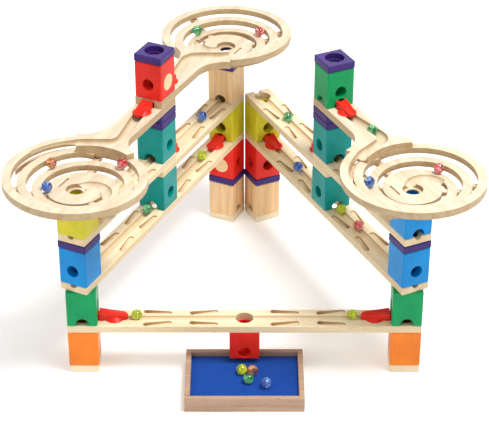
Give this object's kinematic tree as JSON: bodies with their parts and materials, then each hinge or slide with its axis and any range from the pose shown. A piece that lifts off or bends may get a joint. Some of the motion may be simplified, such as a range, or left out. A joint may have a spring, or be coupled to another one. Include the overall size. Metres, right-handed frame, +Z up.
{
  "type": "marble run",
  "caption": "Wooden marble run: painted and natural tower blocks, grooved rails, three spiral tracks with arms, red spouts, glass marbles and a felt-lined tray.",
  "frame": {"origin": "under the middle of the run's overall box, on the surface it stands on", "axes": "+X to the right and +Y away from the side where the tray stands, +Z up"},
  "size_m": [0.6924, 0.6586, 0.4212],
  "materials": {
    "natural_beech": "clear satin lacquer",
    "light_birch": "clear satin lacquer",
    "tray_wood": "clear satin lacquer",
    "blue_felt": "short felt nap",
    "marble_glass": "clear glass with a coloured vane inside",
    "red_lacquer": "semi-gloss red lacquer",
    "purple_lacquer": "semi-gloss purple lacquer",
    "teal_lacquer": "semi-gloss teal lacquer",
    "blue_lacquer": "semi-gloss blue lacquer",
    "yellow_lacquer": "semi-gloss yellow lacquer",
    "green_lacquer": "semi-gloss green lacquer",
    "orange_lacquer": "semi-gloss orange lacquer"
  },
  "bodies": {
    "towers_and_rails": {"back_foot_blocks": "natural_beech", "back_spacers": "purple_lacquer", "back_yellow_blocks": "yellow_lacquer", "front_long_rail": "light_birch", "front_orange_blocks": "orange_lacquer", "front_spacers": "purple_lacquer", "left_back_plug": "natural_beech", "left_back_red_block": "red_lacquer", "left_back_upper_natural_block": "natural_beech", "left_front_blue_block": "blue_lacquer", "left_front_green_block": "green_lacquer", "left_front_yellow_block": "yellow_lacquer", "left_lower_long_rail": "light_birch", "left_middle_lower_teal_block": "teal_lacquer", "left_middle_upper_teal_block": "teal_lacquer", "left_upper_back_rail": "light_birch", "left_upper_front_rail": "light_birch", "middle_spacers": "purple_lacquer", "outlet_block": "red_lacquer", "rail_spouts": "red_lacquer", "right_back_red_block": "red_lacquer", "right_front_blue_block": "blue_lacquer", "right_front_green_block": "green_lacquer", "right_front_upper_blue_block": "blue_lacquer", "right_lower_long_rail": "light_birch", "right_middle_lower_teal_block": "teal_lacquer", "right_middle_upper_teal_block": "teal_lacquer", "right_upper_back_rail": "light_birch", "right_upper_front_rail": "light_birch", "tower_bases": "light_birch"},
    "left_spiral": {"left_spiral": "light_birch", "left_spiral_marbles": "marble_glass"},
    "back_spiral": {"back_spiral": "light_birch", "back_spiral_marble": "marble_glass", "left_spiral_spout": "red_lacquer"},
    "left_top_block": {"left_middle_red_block": "red_lacquer", "left_middle_plug": "natural_beech", "back_spiral_spout": "red_lacquer"},
    "left_cap": {"left_inlet_cap": "purple_lacquer"},
    "right_spiral": {"right_spiral": "light_birch", "right_spiral_marbles": "marble_glass"},
    "right_top_block": {"right_middle_green_block": "green_lacquer", "right_spiral_spout": "red_lacquer"},
    "right_cap": {"right_inlet_cap": "purple_lacquer"},
    "tray": {"tray_walls": "tray_wood", "tray_floor": "tray_wood", "tray_felt": "blue_felt", "tray_marbles": "marble_glass"},
    "front_left_marble": {"front_left_marble": "marble_glass"},
    "front_right_marble": {"front_right_marble": "marble_glass"},
    "left_lower_front_marble": {"left_lower_front_marble": "marble_glass"},
    "left_lower_back_marble": {"left_lower_back_marble": "marble_glass"},
    "left_upper_marble": {"left_upper_marble": "marble_glass"},
    "right_lower_front_marble": {"right_lower_front_marble": "marble_glass"},
    "right_lower_middle_marble": {"right_lower_middle_marble": "marble_glass"},
    "right_lower_back_marble": {"right_lower_back_marble": "marble_glass"},
    "right_upper_marble": {"right_upper_marble": "marble_glass"},
    "left_spiral_rolling_marble": {"left_spiral_rolling_marble": "marble_glass"},
    "right_spiral_rolling_marble": {"right_spiral_rolling_marble": "marble_glass"},
    "back_spiral_rolling_marble": {"back_spiral_rolling_marble": "marble_glass"}
  },
  "joints": [
    {"name": "left_spiral_lift", "type": "slide", "parent": "towers_and_rails", "child": "left_spiral", "axis": [0, 0, 1], "range_m": [0, 0.04]},
    {"name": "back_spiral_lift", "type": "slide", "parent": "left_spiral", "child": "back_spiral", "axis": [0, 0, 1], "range_m": [0, 0.04]},
    {"name": "left_top_block_lift", "type": "slide", "parent": "back_spiral", "child": "left_top_block", "axis": [0, 0, 1], "range_m": [0, 0.04]},
    {"name": "left_cap_lift", "type": "slide", "parent": "left_top_block", "child": "left_cap", "axis": [0, 0, 1], "range_m": [0, 0.04]},
    {"name": "right_spiral_lift", "type": "slide", "parent": "towers_and_rails", "child": "right_spiral", "axis": [0, 0, 1], "range_m": [0, 0.04]},
    {"name": "right_top_block_lift", "type": "slide", "parent": "right_spiral", "child": "right_top_block", "axis": [0, 0, 1], "range_m": [0, 0.04]},
    {"name": "right_cap_lift", "type": "slide", "parent": "right_top_block", "child": "right_cap", "axis": [0, 0, 1], "range_m": [0, 0.04]},
    {"name": "tray_slide", "type": "slide", "parent": "towers_and_rails", "child": "tray", "axis": [0, -1, 0], "range_m": [0, 0.1]},
    {"name": "front_left_marble_roll", "type": "slide", "parent": "towers_and_rails", "child": "front_left_marble", "axis": [1, 0, 0], "range_m": [0, 0.13]},
    {"name": "front_right_marble_roll", "type": "slide", "parent": "towers_and_rails", "child": "front_right_marble", "axis": [-1, 0, 0], "range_m": [0, 0.13]},
    {"name": "left_lower_front_marble_roll", "type": "slide", "parent": "towers_and_rails", "child": "left_lower_front_marble", "axis": [-0.4378, -0.8991, 0], "range_m": [0, 0.16]},
    {"name": "left_lower_back_marble_roll", "type": "slide", "parent": "towers_and_rails", "child": "left_lower_back_marble", "axis": [-0.4378, -0.8991, 0], "range_m": [0, 0.11]},
    {"name": "left_upper_marble_roll", "type": "slide", "parent": "towers_and_rails", "child": "left_upper_marble", "axis": [0.4378, 0.8991, 0], "range_m": [0, 0.05]},
    {"name": "right_lower_front_marble_roll", "type": "slide", "parent": "towers_and_rails", "child": "right_lower_front_marble", "axis": [0.4378, -0.8991, 0], "range_m": [0, 0.1]},
    {"name": "right_lower_middle_marble_roll", "type": "slide", "parent": "towers_and_rails", "child": "right_lower_middle_marble", "axis": [0.4378, -0.8991, 0], "range_m": [0, 0.03]},
    {"name": "right_lower_back_marble_roll", "type": "slide", "parent": "towers_and_rails", "child": "right_lower_back_marble", "axis": [0.4378, -0.8991, 0], "range_m": [0, 0.065]},
    {"name": "right_upper_marble_roll", "type": "slide", "parent": "towers_and_rails", "child": "right_upper_marble", "axis": [-0.4378, 0.8991, 0], "range_m": [0, 0.06]},
    {"name": "left_spiral_marble_roll", "type": "hinge", "parent": "left_spiral", "child": "left_spiral_rolling_marble", "pos_m": [-0.23156, -0.2139, 0.3003], "axis": [0, 0, 1], "range_deg": [0, 20]},
    {"name": "right_spiral_marble_roll", "type": "hinge", "parent": "right_spiral", "child": "right_spiral_rolling_marble", "pos_m": [0.25044, -0.20471, 0.3003], "axis": [0, 0, 1], "range_deg": [0, 20]},
    {"name": "back_spiral_marble_roll", "type": "hinge", "parent": "back_spiral", "child": "back_spiral_rolling_marble", "pos_m": [-0.03, 0.22406, 0.3126], "axis": [0, 0, 1], "range_deg": [0, 20]}
  ]
}
